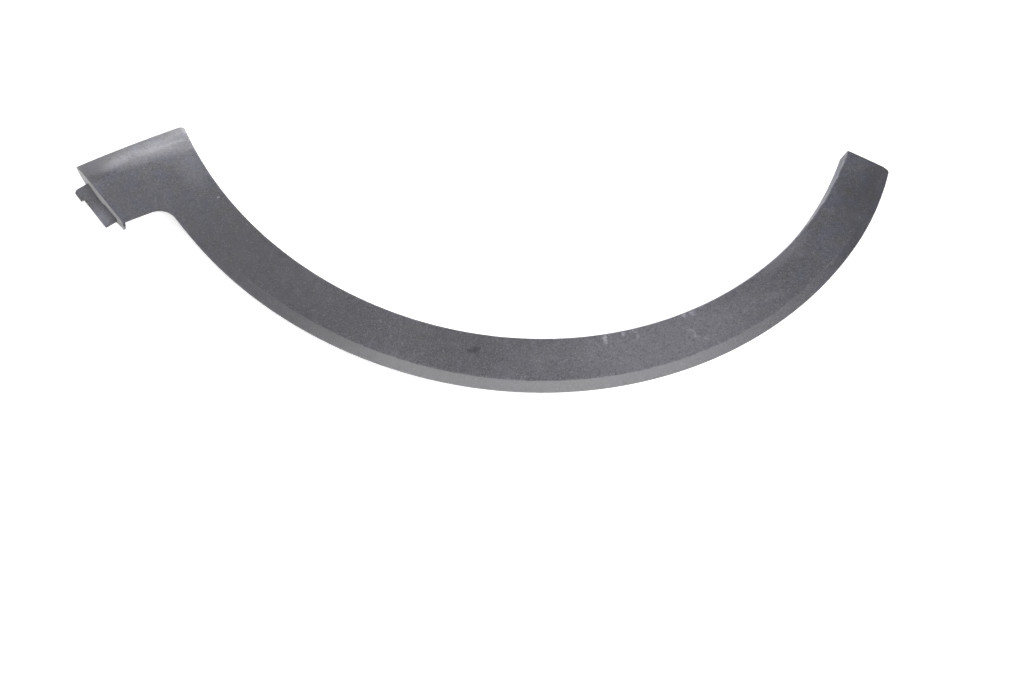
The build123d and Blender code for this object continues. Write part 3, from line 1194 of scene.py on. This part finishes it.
MARKS = (
    # Dark smudge left of the crown
    Mark(-7.10, 388.4, 4.6, 4.8, 10.0, 0.85, Tone.GRIME_AND_SHADE),
    Mark(-6.34, 387.3, 5.0, 7.0, -10.0, 0.9, Tone.GRIME_AND_SHADE),
    Mark(-5.86, 384.0, 2.2, 3.0, -20.0, 0.85, Tone.GRIME_AND_SHADE),
    Mark(-5.30, 381.7, 1.2, 2.6, 0.0, 0.6, Tone.GRIME_AND_SHADE),
    # Pale scuffs right of it
    Mark(12.57, 374.8, 3.2, 7.4, 4.0, 0.72),
    Mark(12.20, 374.0, 5.0, 4.0, 0.0, 0.3, Tone.DUST_AND_HIGHLIGHT),
    Mark(15.43, 373.4, 2.4, 4.4, -8.0, 0.5),
    Mark(17.18, 376.9, 3.8, 5.4, -10.0, 0.36, Tone.CHALK_AND_HIGHLIGHT, True),
    Mark(25.53, 372.6, 4.0, 3.2, 10.0, 0.5),
    Mark(26.90, 374.0, 4.6, 4.0, 5.0, 0.5),
    Mark(23.60, 377.8, 1.2, 5.0, -6.0, 0.4, Tone.DUST_AND_HIGHLIGHT),
    Mark(24.30, 379.0, 1.1, 4.6, -4.0, 0.4, Tone.DUST_AND_HIGHLIGHT),
    Mark(25.20, 392.2, 4.8, 5.6, -14.0, 0.34, Tone.CHALK_AND_HIGHLIGHT, True),
    Mark(26.00, 397.0, 5.0, 1.3, 14.0, 0.3),
    Mark(26.90, 402.2, 6.0, 1.3, 42.0, 0.3),
    # Fainter ones towards the narrow end, then on the foot, then along the band
    Mark(37.9, 396.8, 5.6, 3.2, 25.0, 0.32, Tone.DUST_AND_HIGHLIGHT),
    Mark(36.4, 392.0, 7.0, 1.1, -30.0, 0.28, Tone.DUST_AND_HIGHLIGHT),
    Mark(47.5, 384.0, 8.0, 6.0, 10.0, 0.22, Tone.DUST_AND_HIGHLIGHT),
    Mark(-51.5, 377.3, 1.7, 2.0, 0.0, 0.6),
    Mark(-56.1, 428.0, 3.2, 1.3, 30.0, 0.36, Tone.DUST_AND_HIGHLIGHT),
    Mark(-52.1, 423.7, 2.8, 1.0, -20.0, 0.4),
    Mark(-56.0, 417.8, 4.4, 1.1, 15.0, 0.32, Tone.DUST_AND_HIGHLIGHT),
    Mark(-33.0, 392.0, 10.0, 1.0, 12.0, 0.25, Tone.DUST_AND_HIGHLIGHT),
    Mark(-21.5, 402.0, 7.0, 1.0, -25.0, 0.25, Tone.DUST_AND_HIGHLIGHT),
    Mark(2.4, 392.5, 9.0, 0.9, 20.0, 0.2, Tone.DUST_AND_HIGHLIGHT),
    # Wide blooms of dust and grime, and painted shade and painted highlights where noted
    Mark(22.0, 393.0, 155.0, 44.0, 0.0, 0.3, Tone.DUST_AND_HIGHLIGHT),
    # Dust film near the foot's inner corner, which also paints the roll's highlight wider
    Mark(-58.0, 382.0, 34.0, 20.0, 0.0, 0.3, Tone.DUST_AND_HIGHLIGHT),
    # Painted shade: the left arm and foot darker overall
    Mark(-40.0, 400.0, 190.0, 80.0, 0.0, 0.46, Tone.GRIME_AND_SHADE),
    Mark(-7.0, 388.0, 90.0, 40.0, 0.0, 0.22, Tone.GRIME_AND_SHADE),
    Mark(-57.3, 446.0, 60.0, 40.0, 0.0, 0.25, Tone.GRIME_AND_SHADE),
    # Painted shade at the outer end of the sill edge, where the roll turns away from the light
    Mark(-64.6, 472.0, 24.0, 34.0, 0.0, 0.55, Tone.GRIME_AND_SHADE),
    # Painted shade: the narrow end darker, and its bevel darker along the outer band
    Mark(62.0, 406.0, 74.0, 42.0, 0.0, 0.46, Tone.GRIME_AND_SHADE),
    Mark(57.0, 418.0, 90.0, 9.0, 0.0, 0.5, Tone.GRIME_AND_SHADE),
    # Painted highlight on the flange wall towards the narrow end
    Mark(54.0, 367.0, 120.0, 3.4, 0.0, 0.42, Tone.DUST_AND_HIGHLIGHT),
    # Painted highlight: light blooms over the foot's roll
    Mark(-63.6, 443.0, 9.0, 26.0, 0.0, 0.58, Tone.DUST_AND_HIGHLIGHT),
    Mark(-63.6, 417.0, 17.0, 52.0, 0.0, 0.32, Tone.DUST_AND_HIGHLIGHT),
    Mark(46.0, 373.0, 60.0, 11.0, 0.0, 0.3, Tone.DUST_AND_HIGHLIGHT),
)

# Painted light: a lighter patch over the tab's pad, away from the end wall's shade
TAB_PAD_LIGHT = (Mark(-57.8, 474.6, 24.0, 16.0, 0.0, 0.45, Tone.DUST_AND_HIGHLIGHT),)


class ArchPlace:
    """Place on the moulding as a shader sees it, in arch degrees and millimetres."""

    # How far the outlines of marks wander in all, and half the angle over which the crease starts to fade
    RAG = 6.4
    RAG_NOISE = Noise(420.0, 2.0, 0.6)
    FADE_BLEND = 1.0

    def __init__(self, web: Web, shape: TrimShape) -> None:
        """Adds the nodes that find the place.

        Args:
            web: Web of the finish.
            shape: Shape that knows the arch axis.
        """
        self.web = web
        self.point = web.object_point()
        away = web.vector("SUBTRACT", self.point, tuple(shape.to_frame(np.zeros(3))))
        x, y, z = web.split(away)
        self.radius = web.math("SQRT", x * x + y * y) / MM
        self.angle = web.math("ARCTAN2", x, 0.0 - y) * math.degrees(1)
        self.height = z / MM
        self.out_of_end = self.along(x, y, shape.corner, shape.end_out)
        self.from_sill = self.along(x, y, shape.sill_start, shape.sill_in)
        centre = (shape.crease_radius - shape.fade_radius) * polar(1, -shape.fade_start)
        across, down = x / MM - float(centre[0]), y / MM - float(centre[1])
        faded = web.math("SQRT", across * across + down * down) - shape.fade_radius
        start = -shape.fade_start
        band = web.ramp(self.angle, start - self.FADE_BLEND, start + self.FADE_BLEND)
        self.beyond_crease = band * (self.radius - shape.crease_radius) + (1 - band) * faded
        wander = web.noise(self.point, self.RAG_NOISE) - MIDDLE
        self.ragged_radius = self.radius + wander * self.RAG
        self.ragged_angle = self.angle + wander * (self.RAG * math.degrees(1) / shape.opening_radius)

    @staticmethod
    def along(x: Sock, y: Sock, start: Plan, way: Plan) -> Sock:
        """Distance from a start along a direction in plan, in millimetres."""
        return (x / MM - float(start[0])) * float(way[0]) + (y / MM - float(start[1])) * float(way[1])

    def near_radius(self, radius: float, reach: float) -> Sock:
        """One at a radius, falling to nought at the reach."""
        return 1 - self.web.ramp(self.web.math("ABSOLUTE", self.radius - radius), 0.0, reach)


@dataclass(frozen=True)
class WeatheredFace:
    """Dark plastic with a moulded grain, gone grey and chalky outdoors, with painted highlights on the
    bevel, the foot's end wall and its nub, and painted shade on the tab by the end wall.

    A share, gloss or roughness says how much a layer counts where it is complete. An edge, a reach in
    millimetres or a pair of angles says from where to where it comes in.
    """

    name: str = "weathered_face"
    level: float = 0.0775
    tint: float = 1.15
    roughness: float = 0.6
    warm_level: float = 1.03
    warm_tint: float = 1.08
    warm_patch: Noise = Noise(62.4, 3.0)
    warm_edge: Span = (0.35, 0.65)
    cold_tint: float = 1.34
    cold_green: float = 1.03
    cold_angles: Span = (34.0, 58.0)
    relief: Span = (0.6, 0.00016)
    grain: Noise = Noise(900.0, 2.0, 0.6)
    speckle: Noise = Noise(430.0, 2.0, 0.7)
    speckle_share: float = 1.2
    speckle_height: float = 0.6
    mottle: Noise = Noise(150.0, 3.0, 0.6)
    mottle_share: float = 0.5
    mottle_roughness: float = 0.12
    cloud: Noise = Noise(24.0, 4.0, 0.6)
    cloud_share: float = 0.2
    cloud_roughness: float = 0.14
    film_mottle: float = 0.35
    film_edge: Span = (0.5, 0.75)
    film_share: float = 0.07
    film_roughness: float = 0.12
    smear: Noise = Noise(1.0, 3.0, 0.6)
    smear_scales: Triple = (24.0, 120.0, 24.0)
    smear_edge: Span = (0.40, 0.66)
    smear_reach: Span = (24.0, 46.0)
    smear_share: float = 0.06
    smear_gloss: float = 0.15
    sill_reach: Span = (30.0, 60.0)
    sill_gloss: float = 0.16
    speck: Noise = Noise(1080.0, 1.0)
    speck_edge: Span = (0.57, 0.78)
    speck_share: float = 0.48
    # Bevel bleached about the crown, with a painted highlight there
    bevel_rise: Span = (-52.0, -10.0)
    bevel_fall: Span = (10.0, 56.0)
    bevel_edge: Span = (-0.1, 0.8)
    bevel_bleach_and_highlight_share: float = 0.36
    scratch: Noise = Noise(1.0, 1.0)
    scratch_turns: tuple[float, ...] = (20.0, 75.0, 140.0)
    scratch_scales: Triple = (55.0, 1300.0, 55.0)
    scratch_shift: Triple = (7.3, 3.1, 0.0)
    scratch_edge: Span = (0.70, 0.76)
    scratch_share: float = 0.1
    scratch_depth: float = 0.08
    worn: Noise = Noise(70.0, 4.0, 0.65)
    worn_speckle: float = 0.4
    worn_edge: Span = (0.38, 0.66)
    worn_share: float = 0.3
    worn_gloss: float = 0.06
    opening_inset: float = 0.4
    opening_reach: float = 1.6
    opening_heights: Span = (17.0, 20.0)
    crease_reach: float = 1.2
    crease_angles: Span = (-45.0, -30.0)
    crease_share: float = 0.4
    lip_reach: float = 0.9
    lip_share: float = 0.35
    # Painted highlight on the foot's end wall and nub, and painted shadow on the tab along that wall
    end_wall_highlight_edge: Span = (-0.6, 0.3)
    end_wall_highlight_share: float = 0.7
    end_wall_shadow_edge: Span = (3.0, 11.0)
    end_wall_shadow_share: float = 0.0
    mark_edge: Span = (0.15, 0.55)
    marks: tuple[Mark, ...] = MARKS

    def make(self, shape: TrimShape) -> bpy.types.Material:
        """Makes the material.

        Args:
            shape: Shape whose edges the wear follows.

        Returns:
            The new material.
        """
        material, web = new_finish(self.name)
        place = ArchPlace(web, shape)
        noises = (self.grain, self.speckle, self.mottle, self.cloud)
        grain, speckle, mottle, cloud = (web.noise(place.point, noise) for noise in noises)
        shade = 1 + self.speckle_share * (speckle - MIDDLE) + self.mottle_share * (mottle - MIDDLE)
        shade = shade + self.cloud_share * (cloud - MIDDLE)
        colour = web.blend(1.0, self.plain(web, place), web.level(shade), "MULTIPLY")
        film = web.ramp(cloud + self.film_mottle * (mottle - MIDDLE), *self.film_edge)
        smears = self.smears(web, place, shape)
        specks = web.ramp(web.noise(place.point, self.speck), *self.speck_edge)
        scratches = self.scratches(web, place)
        worn = self.worn_edges(web, place, shape, speckle)
        # Mask of the painted highlight on the foot's end wall and the nub
        end = web.ramp(place.out_of_end, *self.end_wall_highlight_edge)
        # Mask of the painted shadow on the tab along the foot's end wall
        corner = 1 - web.ramp(place.out_of_end, *self.end_wall_shadow_edge)
        # Pale colour of the chalky scratches, and of the painted highlights on the bevel and the end wall
        chalk_and_highlight, cool_chalk = grey(Tone.CHALK_AND_HIGHLIGHT.value), grey(Tone.CHALK_AND_HIGHLIGHT.value, self.tint)
        layers = [
            (self.film_share * film, cool_chalk),
            (self.smear_share * smears, cool_chalk),
            (self.speck_share * specks, cool_chalk),
            # Bleaching and painted highlight on the bevel about the crown
            (self.bevel_bleach_and_highlight_share * self.bevel_bleach_and_highlight(web, place), chalk_and_highlight),
            (self.scratch_share * scratches, chalk_and_highlight),
            (self.worn_share * worn, cool_chalk),
            # Marks of each tone: real scuffs, dust and grime, and the painted highlights and painted shade
            # among them
            *((self.marked(web, place, tone, speckle), grey(tone.value, self.tint)) for tone in Tone),
            # Painted highlight on the foot's end wall and the nub
            (self.end_wall_highlight_share * end, chalk_and_highlight),
            # Painted shadow on the tab along the foot's end wall
            (self.end_wall_shadow_share * corner, grey(Tone.GRIME_AND_SHADE.value)),
        ]
        for share, over in layers:
            colour = web.blend(share, colour, over)
        roughness = self.roughness + self.cloud_roughness * (cloud - MIDDLE)
        roughness = roughness + self.mottle_roughness * (mottle - MIDDLE) + self.film_roughness * film
        roughness = roughness - self.worn_gloss * worn - self.smear_gloss * smears
        roughness = roughness - self.sill_gloss * (1 - web.ramp(place.from_sill, *self.sill_reach))
        height = grain + self.speckle_height * speckle - self.scratch_depth * scratches
        web.plastic(colour, roughness, height, self.relief)
        return material

    def plain(self, web: Web, place: ArchPlace) -> Sock:
        """Colour of the plastic before the weather, warmer in patches and colder towards both ends.

        Args:
            web: Web of the finish.
            place: Place on the moulding.

        Returns:
            The colour.
        """
        ends = web.ramp(web.math("ABSOLUTE", place.angle), *self.cold_angles)
        cold = grey(self.level, self.cold_tint, self.cold_green)
        cool = web.blend(ends, grey(self.level, self.tint), cold)
        patch = web.ramp(web.noise(place.point, self.warm_patch), *self.warm_edge)
        return web.blend(patch, cool, grey(self.warm_level * self.level, self.warm_tint))

    def bevel_bleach_and_highlight(self, web: Web, place: ArchPlace) -> Sock:
        """Bevel, bleached most about the crown, where it also carries a painted highlight."""
        crown = web.ramp(place.angle, *self.bevel_rise) * (1 - web.ramp(place.angle, *self.bevel_fall))
        return crown * web.ramp(place.beyond_crease, *self.bevel_edge)

    def scratches(self, web: Web, place: ArchPlace) -> Value:
        """Fine hairlines in several directions.

        Args:
            web: Web of the finish.
            place: Place on the moulding.

        Returns:
            One on a hairline, nought beside it.
        """
        lines = []
        for number, turn in enumerate(self.scratch_turns):
            drawn = web.streaks(place.point, math.radians(turn), self.scratch_scales)
            shifted = web.vector("ADD", drawn, tuple(number * step for step in self.scratch_shift))
            lines.append(web.ramp(web.noise(shifted, self.scratch), *self.scratch_edge))
        return web.greatest(lines)

    def smears(self, web: Web, place: ArchPlace, shape: TrimShape) -> Sock:
        """Wiped streaks along the sill edge.

        Args:
            web: Web of the finish.
            place: Place on the moulding.
            shape: Shape that knows the sill edge.

        Returns:
            One where the sill edge is wiped, nought away from it.
        """
        turn = math.atan2(float(shape.sill_out[1]), float(shape.sill_out[0]))
        drawn = web.streaks(place.point, -turn, self.smear_scales)
        wiped = web.ramp(web.noise(drawn, self.smear), *self.smear_edge)
        return wiped * (1 - web.ramp(place.from_sill, *self.smear_reach))

    def worn_edges(self, web: Web, place: ArchPlace, shape: TrimShape, speckle: Sock) -> Sock:
        """Rubbed edge of the opening, crease and lip.

        Args:
            web: Web of the finish.
            place: Place on the moulding.
            shape: Shape that knows the edges.
            speckle: Noise that breaks up the rubbed lines.

        Returns:
            One where an edge is rubbed bare, nought away from the edges.
        """
        opening = place.near_radius(shape.opening_radius + self.opening_inset, self.opening_reach)
        opening = opening * web.ramp(place.height, *self.opening_heights)
        crease = place.near_radius(shape.crease_radius, self.crease_reach)
        crease = crease * web.ramp(place.angle, *self.crease_angles)
        lip = place.near_radius(shape.outer_radius, self.lip_reach)
        rubbed = opening + self.crease_share * crease + self.lip_share * lip
        patches = web.noise(place.point, self.worn) + self.worn_speckle * (speckle - MIDDLE)
        return rubbed * web.ramp(patches, *self.worn_edge)

    def marked(self, web: Web, place: ArchPlace, tone: Tone, speckle: Sock) -> Sock:
        """Share of all marks of one tone.

        Args:
            web: Web of the finish.
            place: Place on the moulding.
            tone: The tone.
            speckle: Noise that breaks up the marks.

        Returns:
            Strength of the strongest mark, nought away from all of them.
        """
        masks = (mark.mask(web, place) for mark in self.marks if mark.tone is tone)
        return web.greatest(masks) * web.ramp(speckle, *self.mark_edge)


@dataclass(frozen=True)
class MouldedBack:
    """Back of the moulding, which the weather hasn't reached: darker, finer and a little dusty."""

    name: str = "moulded_back"
    level: float = 0.06
    tint: float = 1.06
    roughness: float = 0.45
    relief: Span = (0.4, 0.00005)
    grain: Noise = Noise(1500.0, 2.0, 0.6)
    grain_share: float = 0.18
    cloud: Noise = Noise(40.0, 4.0, 0.6)
    cloud_share: float = 0.3
    cloud_height: float = 0.3
    cloud_roughness: float = 0.1
    swirl: Noise = Noise(1.0, 2.0)
    swirl_scales: Triple = (60.0, 60.0, 8.0)
    swirl_share: float = 0.15
    dust_colour: Colour = (0.20, 0.18, 0.16, 1.0)
    dust_grain: float = 0.4
    dust_edge: Span = (0.46, 0.74)
    dust_share: float = 0.22
    dust_roughness: float = 0.2

    def make(self) -> bpy.types.Material:
        """Makes the material.

        Returns:
            The new material.
        """
        material, web = new_finish(self.name)
        point = web.object_point()
        grain, cloud = (web.noise(point, noise) for noise in (self.grain, self.cloud))
        swirl = web.noise(web.vector("MULTIPLY", point, self.swirl_scales), self.swirl)
        shade = 1 + self.grain_share * (grain - MIDDLE) + self.cloud_share * (cloud - MIDDLE)
        shade = shade + self.swirl_share * (swirl - MIDDLE)
        colour = web.blend(1.0, grey(self.level, self.tint), web.level(shade), "MULTIPLY")
        dust = web.ramp(cloud + self.dust_grain * (grain - MIDDLE), *self.dust_edge)
        colour = web.blend(self.dust_share * dust, colour, self.dust_colour)
        roughness = self.roughness + self.dust_roughness * dust + self.cloud_roughness * (cloud - MIDDLE)
        web.plastic(colour, roughness, grain + self.cloud_height * cloud, self.relief)
        return material


@dataclass(frozen=True)
class Lamp:
    """Soft box, aimed at the middle of the part, with angles in degrees and lengths in metres."""

    name: str
    azimuth: float
    elevation: float
    size: float
    watts: float
    distance: float = 2.0


@dataclass
class Studio:
    """Floor, light and camera, with angles in degrees and lengths in metres, the lens in millimetres."""

    lamps: tuple[Lamp, ...]
    fill: float = 0.03
    floor_level: float = 0.9
    floor_glow: float = 0.6
    floor_half: float = 60.0
    floor_gap: float = 0.0002
    floor_fade: Span = (0.8, 2.2)
    backdrop_top: Span = (16.0, 30.0)
    camera_azimuth: float = -13.7
    camera_elevation: float = 63.33
    camera_distance: float = 1.4041
    camera_target: Triple = (0.01508, -0.09616, 0.022)
    lens: float = 51.96
    sensor: float = 36.0

    @staticmethod
    def direction(azimuth: float, elevation: float) -> Vector:
        """Direction from the part, azimuth nought towards the crown's side."""
        a, e = math.radians(azimuth), math.radians(elevation)
        return Vector((math.sin(a) * math.cos(e), -math.cos(a) * math.cos(e), math.sin(e)))

    def build_floor(self) -> None:
        """Pale floor that keeps the part's shadow and glows white away from it."""
        half = self.floor_half
        mesh = bpy.data.meshes.new("floor")
        corners = [(-half, -half, 0), (half, -half, 0), (half, half, 0), (-half, half, 0)]
        mesh.from_pydata(corners, [], [(0, 1, 2, 3)])
        floor = linked("floor", mesh)
        floor.location.z = CAD_BOX[0].z - self.floor_gap
        material, web = new_finish("floor_paper")
        diffuse = web.node("ShaderNodeBsdfDiffuse", {}, Color=grey(self.floor_level, green=1.0))
        far = web.ramp(web.vector("LENGTH", web.object_point(), output="Value"), *self.floor_fade)
        level = web.level(self.floor_glow + (1 - self.floor_glow) * far)
        glow = web.node("ShaderNodeEmission", {}, Color=level, Strength=web.seen())
        both = web.node("ShaderNodeAddShader", {})
        for socket, shader in zip(both.inputs, (diffuse, glow)):
            web.feed(socket, Sock(web, shader.outputs[0]))
        web.end("ShaderNodeOutputMaterial", both)
        mesh.materials.append(material)

    def build_light(self) -> None:
        """World fill, white backdrop near the horizon, and soft boxes."""
        world = bpy.data.worlds.new("studio")
        bpy.context.scene.world = world
        world.use_nodes = True
        web = Web(world.node_tree)
        look = Sock(web, web.node("ShaderNodeTexCoord", {}).outputs["Generated"])
        low, high = (math.sin(math.radians(angle)) for angle in self.backdrop_top)
        backdrop = web.seen() * (1 - web.ramp(web.split(look)[2], low, high))
        level = web.level(self.fill + (1 - self.fill) * backdrop)
        web.end("ShaderNodeOutputWorld", web.node("ShaderNodeBackground", {}, Color=level))
        for lamp in self.lamps:
            light = bpy.data.lights.new(lamp.name, "AREA")
            light.size = lamp.size
            light.energy = lamp.watts
            box = linked(lamp.name, light)
            way = self.direction(lamp.azimuth, lamp.elevation)
            box.location = way * lamp.distance
            box.rotation_euler = way.to_track_quat("Z", "Y").to_euler()

    def build_camera(self) -> None:
        """Camera at the photograph's angle, its upper side towards the opening."""
        data = bpy.data.cameras.new("camera")
        data.lens = self.lens
        data.sensor_width = self.sensor
        data.sensor_fit = "HORIZONTAL"
        camera = linked("camera", data)
        back = self.direction(self.camera_azimuth, self.camera_elevation)
        right = Vector((0, 1, 0)).cross(back).normalized()
        turn = Matrix((right, back.cross(right), back)).transposed().to_4x4()
        place = Vector(self.camera_target) + back * self.camera_distance
        camera.matrix_world = Matrix.Translation(place) @ turn
        bpy.context.scene.camera = camera

    def build(self) -> None:
        """Makes floor, light and camera."""
        self.build_floor()
        self.build_light()
        self.build_camera()


LAMPS = (
    Lamp("left", -115.0, 20.0, 0.8, 13.0),
    Lamp("back_left", -150.0, 34.0, 0.7, 15.0),
    Lamp("back", -165.0, 14.0, 0.7, 20.0),
    Lamp("front_left", -50.0, 8.0, 0.8, 18.0),
    Lamp("near_left", -20.0, 60.0, 0.6, 2.7, 1.1),
    Lamp("near_right", 30.0, 45.0, 0.6, 6.5, 1.1),
    Lamp("right", 65.0, 50.0, 1.0, 11.0),
)


def main() -> None:
    """Builds the trim's pieces and the studio."""
    logging.basicConfig(level=logging.INFO, format="%(name)s: %(message)s")
    bpy.context.scene.view_settings.view_transform = "Standard"
    shape = TrimShape()
    face = WeatheredFace().make(shape)
    back = MouldedBack().make()
    Skin(shape).build([face, back])
    HiddenSide(shape).build(back)
    # The tab is the face's plastic at a darker level, painted shade from the foot's end wall, with a painted
    # shadow along that wall and a lighter pad
    tab = WeatheredFace("weathered_tab_painted_shade", level=0.055, end_wall_highlight_share=0.0, end_wall_shadow_share=0.6, marks=TAB_PAD_LIGHT)
    FootEnd(shape).build([tab.make(shape), face])
    Studio(LAMPS).build()


if __name__ == "__main__":
    main()
